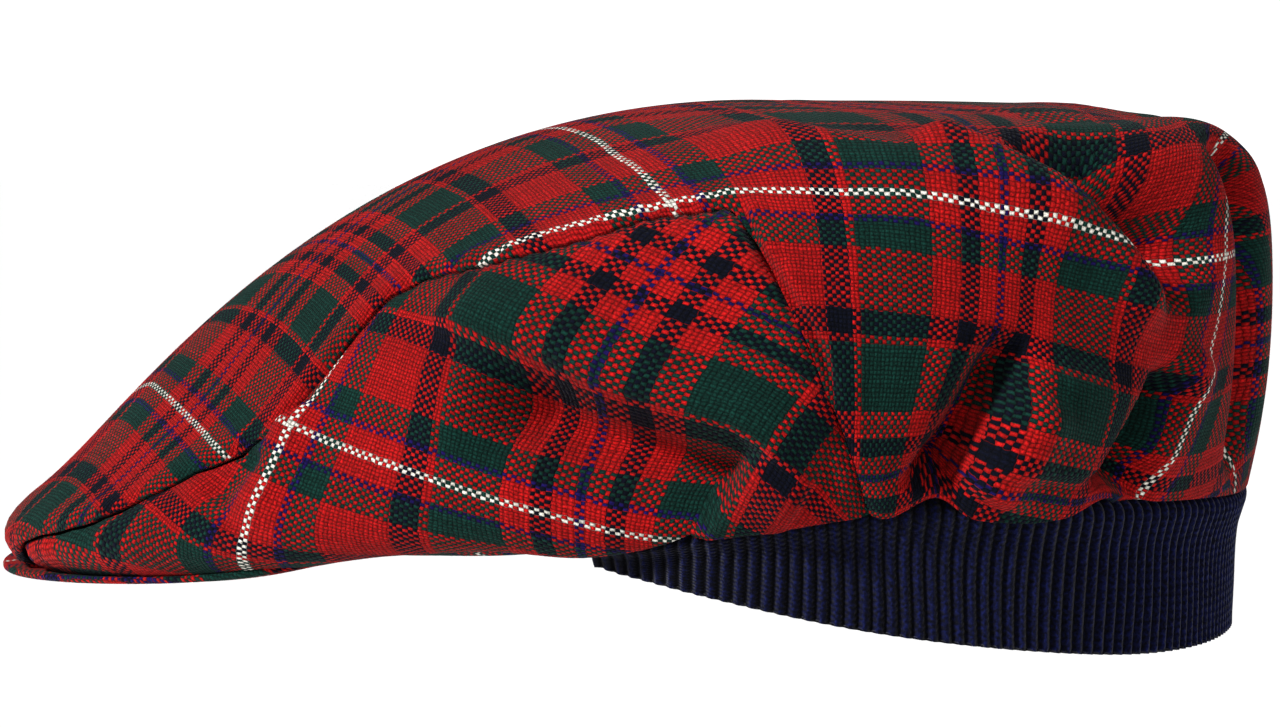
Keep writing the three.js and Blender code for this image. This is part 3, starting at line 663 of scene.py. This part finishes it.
start = band["angle"][0]
walk = np.linspace(start, 360 - start, band["samples"])
path = place(walk, outlineReach(crown["knit"], walk), 0)
length = np.concatenate([[0], np.cumsum(np.linalg.norm(np.diff(path, axis=0), axis=-1))])
ribs = round(length[-1] / band["ribPitch"])
steps = ribs * band["pointsPerRib"]
ribAt = np.linspace(0, ribs, steps + 1)
angles = np.interp(ribAt / ribs * length[-1], length, walk)
lowZ = readTable(band, "lowZ", sideAngle(angles))
rimZ = readTable(crownSections, "rimZ", sideAngle(angles))
flare = np.minimum(1, (rimZ - lowZ) / band["fullHeight"])
base = outlineReach(crown["knit"], angles)
outer = []
inner = []
for up in np.linspace(band["top"], 0, band["rows"]):
    z = mix(lowZ, rimZ, up) if up < 1 else rimZ + (up - 1) * band["collarRise"]
    out = readTable(bandFace, "out", np.array(up), by="up")
    wall = readTable(bandFace, "wall", np.array(up), by="up")
    lean = band["wander"] * np.sin(z / band["wanderHeight"] + angles / band["wanderTurn"])
    reach = base + (out * flare if out > 0 else out)
    turned = angles + np.degrees(lean / band["wanderReach"])
    outer.append(place(turned, reach + ribShape(ribAt), z))
    inner.append(place(turned, reach - wall, z))
bottom = []
for turn in np.radians([-30, -60, -90, -120, -150]):
    reach = base - band["edgeInset"] + band["edgeRound"] * np.cos(turn)
    ridge = ribShape(ribAt) * max(0, np.cos(turn))
    bottom.append(place(angles, reach + ridge, lowZ + band["edgeRoll"] * (1 + np.sin(turn))))
sections = np.stack(outer + bottom + inner[::-1], 1)
run = np.linalg.norm(np.diff(sections, axis=1), axis=-1).mean(0)
knitted = np.concatenate([[0], np.cumsum(run)])
uv = np.stack(np.broadcast_arrays(ribAt[:, None], -knitted[None]), -1)
bandKnit = closedSections("rib_band_knit", sections, uv)
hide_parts("rib_band")
print("rib band:", ribs, "ribs")

# Materials


def hexColour(code):
    # sRGB hex to linear, with full alpha
    parts = [int(code[k:k + 2], 16) / 255 for k in (1, 3, 5)]
    linear = [p / 12.92 if p <= 0.04045 else ((p + 0.055) / 1.055) ** 2.4 for p in parts]
    return (*linear, 1.0)


def addNode(tree, kind, inputs=None, **settings):
    node = tree.nodes.new(kind)
    for key, value in settings.items():
        setattr(node, key, value)
    for socket, value in (inputs or {}).items():
        if isinstance(value, bpy.types.NodeSocket):
            tree.links.new(value, node.inputs[socket])
        else:
            node.inputs[socket].default_value = value
    return node


# yarns in half a repeat, from the middle of the white line to the middle of the purple
tartanSett = [
    ("#d2cec4", 1), ("#a51718", 5), ("#1d1350", 2), ("#10362f", 7), ("#a51718", 16),
    ("#0a0e1e", 6), ("#a81818", 2), ("#10362f", 15), ("#a81818", 6), ("#0a0e1e", 4),
    ("#a81818", 4), ("#1d1350", 1),
]
halfRepeat = sum(count for code, count in tartanSett)


def yarnColour(tree, yarn, seed):
    # the colour of a numbered yarn, a little different from its neighbours
    span = float(halfRepeat)
    folded = addNode(tree, "ShaderNodeMath", {0: yarn, 1: span}, operation="PINGPONG")
    part = addNode(tree, "ShaderNodeMath", {0: folded.outputs[0], 1: span}, operation="DIVIDE")
    ramp = addNode(tree, "ShaderNodeValToRGB", {0: part.outputs[0]})
    ramp.color_ramp.interpolation = "CONSTANT"
    stops = ramp.color_ramp.elements
    stops.remove(stops[1])
    start = 0
    for number, (code, count) in enumerate(tartanSett):
        stop = stops[0] if number == 0 else stops.new(start / halfRepeat)
        stop.position = start / halfRepeat
        stop.color = hexColour(code)
        start += count
    whole = addNode(tree, "ShaderNodeMath", {0: yarn}, operation="FLOOR")
    seeded = addNode(tree, "ShaderNodeMath", {0: whole.outputs[0], 1: seed}, operation="ADD")
    chance = addNode(tree, "ShaderNodeTexWhiteNoise", {"W": seeded.outputs[0]}, noise_dimensions="1D")
    shade = addNode(tree, "ShaderNodeMapRange", {0: chance.outputs[0], 3: 0.75, 4: 1.2})
    return addNode(tree, "ShaderNodeVectorMath", {0: ramp.outputs[0], "Scale": shade.outputs[0]},
                   operation="SCALE").outputs[0]


def yarnRound(tree, axis):
    # 1 along the middle of each yarn and 0 at its sides
    part = addNode(tree, "ShaderNodeMath", {0: axis, 1: 1.0}, operation="FLOORED_MODULO")
    centred = addNode(tree, "ShaderNodeMath", {0: part.outputs[0], 1: 2.0, 2: -1.0},
                      operation="MULTIPLY_ADD")
    square = addNode(tree, "ShaderNodeMath", {0: centred.outputs[0], 1: 2.0}, operation="POWER")
    return addNode(tree, "ShaderNodeMath", {0: 1.0, 1: square.outputs[0]},
                   operation="SUBTRACT").outputs[0]


def yarnHeight(tree, rounds, way):
    # a yarn stands highest in the middle of each crossing
    along = addNode(tree, "ShaderNodeMath", {0: rounds[1 - way], 1: 0.6, 2: 0.4},
                    operation="MULTIPLY_ADD")
    return addNode(tree, "ShaderNodeMath", {0: rounds[way], 1: along.outputs[0]},
                   operation="MULTIPLY").outputs[0]


def wovenWool(name, turn=0.0):
    # plain-weave wool: round matt yarns about 1 mm apart, over and under, with a soft nap that
    # blurs their edges. Noise scales are features to the metre.
    material = bpy.data.materials.new(name)
    material.use_nodes = True
    tree = material.node_tree
    tree.nodes.clear()
    uv = addNode(tree, "ShaderNodeUVMap", uv_map="cloth")
    laid = addNode(tree, "ShaderNodeMapping", {0: uv.outputs[0], "Rotation": (0, 0, turn)})
    whereabouts = addNode(tree, "ShaderNodeTexCoord").outputs["Object"]
    # yarns stray by up to half their width, every 2 to 3 mm
    stray = addNode(tree, "ShaderNodeTexNoise", {"Vector": whereabouts, "Scale": 420.0, "Detail": 2.0})
    centred = addNode(tree, "ShaderNodeVectorMath", {0: stray.outputs[1], 1: (0.5, 0.5, 0.5)},
                      operation="SUBTRACT")
    strayed = addNode(tree, "ShaderNodeVectorMath",
                      {0: centred.outputs[0], 1: (0.9, 0.9, 0.0), 2: laid.outputs[0]},
                      operation="MULTIPLY_ADD")
    axes = addNode(tree, "ShaderNodeSeparateXYZ", {0: strayed.outputs[0]})
    across = axes.outputs[0]
    along = axes.outputs[1]
    # which yarn is on top changes at every crossing
    acrossCell = addNode(tree, "ShaderNodeMath", {0: across}, operation="FLOOR")
    alongCell = addNode(tree, "ShaderNodeMath", {0: along}, operation="FLOOR")
    total = addNode(tree, "ShaderNodeMath", {0: acrossCell.outputs[0], 1: alongCell.outputs[0]},
                    operation="ADD")
    over = addNode(tree, "ShaderNodeMath", {0: total.outputs[0], 1: 2.0},
                   operation="FLOORED_MODULO").outputs[0]
    colour = addNode(tree, "ShaderNodeMix",
                     {0: over, 6: yarnColour(tree, across, 3.0), 7: yarnColour(tree, along, 71.0)},
                     data_type="RGBA")
    rounds = [yarnRound(tree, across), yarnRound(tree, along)]
    height = addNode(tree, "ShaderNodeMix", {0: over, 2: yarnHeight(tree, rounds, 0),
                                             3: yarnHeight(tree, rounds, 1)})
    # fuzz of 0.4 mm, and cloth a little faded in patches of 4 cm
    nap = addNode(tree, "ShaderNodeTexNoise", {"Vector": whereabouts, "Scale": 2600.0, "Detail": 3.0})
    wear = addNode(tree, "ShaderNodeTexNoise", {"Vector": whereabouts, "Scale": 28.0, "Detail": 2.0})
    # painted shade and highlight: the colour is darkened in the gaps between yarns and lifted on their
    # crowns, by each yarn's height, as shade and light would fall across the weave
    paintedYarnShade = addNode(tree, "ShaderNodeMapRange", {0: height.outputs[0], 3: 0.26, 4: 1.12})
    fuzz = addNode(tree, "ShaderNodeMapRange", {0: nap.outputs[0], 1: 0.3, 2: 0.7, 3: 0.55, 4: 1.45})
    faded = addNode(tree, "ShaderNodeMapRange", {0: wear.outputs[0], 1: 0.3, 2: 0.7, 3: 0.92, 4: 1.08})
    light = addNode(tree, "ShaderNodeMath", {0: paintedYarnShade.outputs[0], 1: fuzz.outputs[0]},
                    operation="MULTIPLY")
    light = addNode(tree, "ShaderNodeMath", {0: light.outputs[0], 1: faded.outputs[0]},
                    operation="MULTIPLY")
    shaded = addNode(tree, "ShaderNodeVectorMath", {0: colour.outputs[2], "Scale": light.outputs[0]},
                     operation="SCALE")
    raised = addNode(tree, "ShaderNodeMath", {0: nap.outputs[0], 1: 0.5, 2: height.outputs[0]},
                     operation="MULTIPLY_ADD")
    bump = addNode(tree, "ShaderNodeBump", {"Height": raised.outputs[0], "Distance": 0.00035,
                                            "Strength": 0.65})
    surface = addNode(tree, "ShaderNodeBsdfPrincipled", {
        "Base Color": shaded.outputs[0], "Normal": bump.outputs[0], "Roughness": 0.9,
        "Specular IOR Level": 0.12, "Sheen Weight": 0.04, "Sheen Roughness": 0.5})
    addNode(tree, "ShaderNodeOutputMaterial", {0: surface.outputs[0]})
    return material


def ribKnit(name):
    # navy worsted knit: matt ribs that zigzag with their stitches. Its colour holds painted light: rib
    # crests painted lighter blue in speckles as painted highlights where the fuzz would catch the light,
    # and furrows painted nearly black as painted shade. The UV map counts ribs and millimetres.
    material = bpy.data.materials.new(name)
    material.use_nodes = True
    tree = material.node_tree
    tree.nodes.clear()
    uv = addNode(tree, "ShaderNodeUVMap", uv_map="cloth")
    axes = addNode(tree, "ShaderNodeSeparateXYZ", {0: uv.outputs[0]})
    stitchLength = 1.3
    stitch = addNode(tree, "ShaderNodeMath", {0: axes.outputs[1], 1: stitchLength / 2},
                     operation="PINGPONG")
    zigzag = addNode(tree, "ShaderNodeMath", {0: stitch.outputs[0], 1: 0.3, 2: axes.outputs[0]},
                     operation="MULTIPLY_ADD")
    wave = addNode(tree, "ShaderNodeMath", {0: zigzag.outputs[0], 1: 0.5}, operation="PINGPONG")
    rib = addNode(tree, "ShaderNodeMapRange", {0: wave.outputs[0], 1: 0.02, 2: 0.42, 3: 1.0, 4: 0.0})
    whereabouts = addNode(tree, "ShaderNodeTexCoord").outputs["Object"]
    nap = addNode(tree, "ShaderNodeTexNoise", {"Vector": whereabouts, "Scale": 1500.0, "Detail": 4.0})
    # painted highlight: speckles where the fuzz on the ribs would catch the light
    paintedFuzzGlint = addNode(tree, "ShaderNodeMapRange",
                      {0: nap.outputs[0], 1: 0.38, 2: 0.66, 3: 0.12, 4: 1.0})
    raised = addNode(tree, "ShaderNodeMath", {0: nap.outputs[0], 1: 0.8, 2: rib.outputs[0]},
                     operation="MULTIPLY_ADD")
    bump = addNode(tree, "ShaderNodeBump", {"Height": raised.outputs[0], "Distance": 0.0005,
                                            "Strength": 0.8})
    # painted light and shade: the navy is lightened on rib crests as painted highlight and darkened to
    # nearly black in the furrows as painted shade
    paintedRibLightAndShade = addNode(tree, "ShaderNodeMath", {0: rib.outputs[0], 1: paintedFuzzGlint.outputs[0]},
                   operation="MULTIPLY")
    colour = addNode(tree, "ShaderNodeMix", {0: paintedRibLightAndShade.outputs[0], 6: hexColour("#030309"),
                                             7: hexColour("#141c4e")}, data_type="RGBA")
    surface = addNode(tree, "ShaderNodeBsdfPrincipled", {
        "Base Color": colour.outputs[2], "Normal": bump.outputs[0], "Roughness": 0.9,
        "Specular IOR Level": 0.15, "Sheen Weight": 0.08, "Sheen Roughness": 0.5})
    addNode(tree, "ShaderNodeOutputMaterial", {0: surface.outputs[0]})
    return material


tartanWool = wovenWool("tartan_wool_plain_weave")
peakWool = wovenWool("tartan_wool_on_peak", turn=0.5)
navyKnit = ribKnit("navy_rib_knit")
for piece in (topCloth, *sideCloths):
    piece.data.materials.append(tartanWool)
peakCloth.data.materials.append(peakWool)
bandKnit.data.materials.append(navyKnit)
print("materials")

# Floor, lights and camera. The cap is held up as a head holds it, so the floor lies well below.

studio = {
    "floorZ": -150.0, "floorSize": 8.0,
    "keyFrom": (0.68, -0.64, 0.68), "keyPower": 3.5, "keySoftness": 9.0,
    "fillPlace": (0.5, 0.9, 0.6), "fillSize": 0.5, "fillPower": 2.0,
    "skyAbove": 0.22, "skyLow": 1.0, "skyFade": (0.02, 0.14),
}

# the photo's view: a long lens from the left, a little behind and above
shot = {
    "aim": (2.5, -25.2, 33.0), "back": (0.9622, 0.2578, 0.0872), "distance": 1.1,
    "lens": 144.8, "sensor": 36.0,
}

bpy.ops.object.select_all(action="DESELECT")
bpy.ops.mesh.primitive_plane_add(size=studio["floorSize"], location=(0, 0, studio["floorZ"] * mm))
floor = bpy.context.object
floor.name = "studio_floor"
paper = bpy.data.materials.new("pale_paper")
paper.use_nodes = True
paper.node_tree.nodes["Principled BSDF"].inputs["Base Color"].default_value = hexColour("#ffffff")
paper.node_tree.nodes["Principled BSDF"].inputs["Roughness"].default_value = 0.9
floor.data.materials.append(paper)

aim = Vector(shot["aim"]) * mm
bpy.ops.object.light_add(type="SUN", location=studio["keyFrom"])
keyLight = bpy.context.object
keyLight.name = "key_light"
keyLight.data.energy = studio["keyPower"]
keyLight.data.angle = math.radians(studio["keySoftness"])
bpy.ops.object.light_add(type="AREA", location=studio["fillPlace"])
fillLight = bpy.context.object
fillLight.name = "fill_light"
fillLight.data.size = studio["fillSize"]
fillLight.data.energy = studio["fillPower"]
for lamp in (keyLight, fillLight):
    lamp.rotation_euler = (aim - lamp.location).to_track_quat("-Z", "Y").to_euler()

# the sky is bright low down, where it stands for a white backdrop, and dimmer above
sky = bpy.data.worlds.new("soft_sky")
bpy.context.scene.world = sky
sky.use_nodes = True
skyTree = sky.node_tree
skyTree.nodes.clear()
looking = addNode(skyTree, "ShaderNodeTexCoord")
heights = addNode(skyTree, "ShaderNodeSeparateXYZ", {0: looking.outputs["Generated"]})
level = addNode(skyTree, "ShaderNodeMapRange", {
    0: heights.outputs[2], 1: studio["skyFade"][0], 2: studio["skyFade"][1],
    3: studio["skyLow"], 4: studio["skyAbove"]})
glow = addNode(skyTree, "ShaderNodeBackground", {0: hexColour("#ffffff"), 1: level.outputs[0]})
addNode(skyTree, "ShaderNodeOutputWorld", {0: glow.outputs[0]})

back = Vector(shot["back"]).normalized()
bpy.ops.object.camera_add(location=aim + shot["distance"] * back)
camera = bpy.context.object
camera.rotation_euler = back.to_track_quat("Z", "Y").to_euler()
camera.data.sensor_width = shot["sensor"]
camera.data.lens = shot["lens"]
bpy.context.scene.camera = camera
bpy.context.scene.view_settings.view_transform = "Standard"
bpy.context.scene.view_settings.look = "Medium High Contrast"
print("studio")
